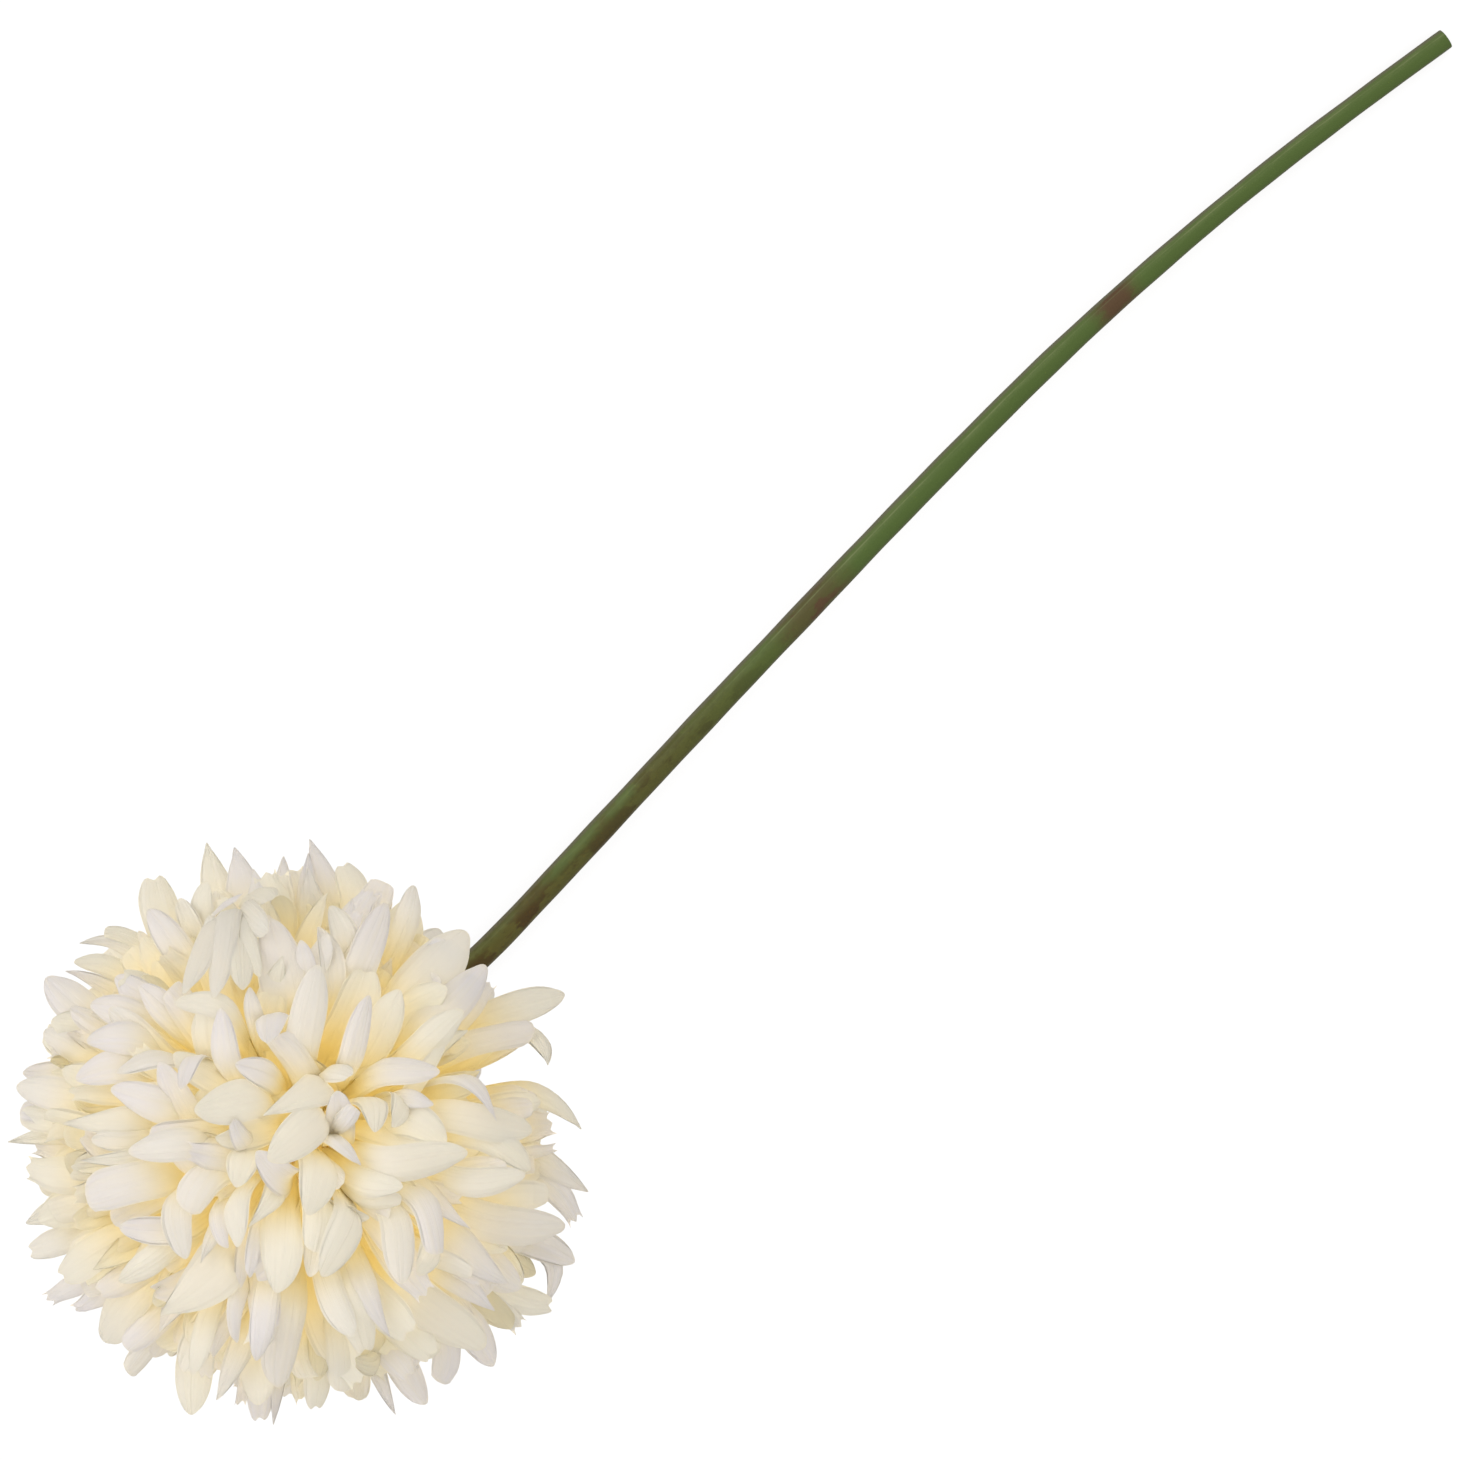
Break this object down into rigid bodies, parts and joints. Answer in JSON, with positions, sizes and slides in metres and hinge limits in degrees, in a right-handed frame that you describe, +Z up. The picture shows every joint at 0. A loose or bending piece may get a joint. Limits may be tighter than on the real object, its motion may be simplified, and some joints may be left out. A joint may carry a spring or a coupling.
{
  "type": "artificial chrysanthemum flower",
  "caption": "Cream fabric ball chrysanthemum, its petals in overlapping layers, on a long slightly bowed green stem, laid on a surface with the crown up.",
  "frame": {"origin": "middle of the part's bounding box in plan, on the surface that it lies on", "axes": "+Z up, out of the surface; +X along the stem, from the head to the cut end; +Y to the side that the stem bows to"},
  "size_m": [0.3951, 0.1214, 0.1089],
  "materials": {
    "petal_fabric": "matte woven petal cloth, cream, warmer towards the roots",
    "calyx_green": "moulded, satin",
    "stem_green": "moulded, satin, green with brown mottling near the head"
  },
  "bodies": {
    "root": {"bloom": "petal_fabric", "calyx": "calyx_green", "stem": "stem_green"}
  },
  "joints": []
}
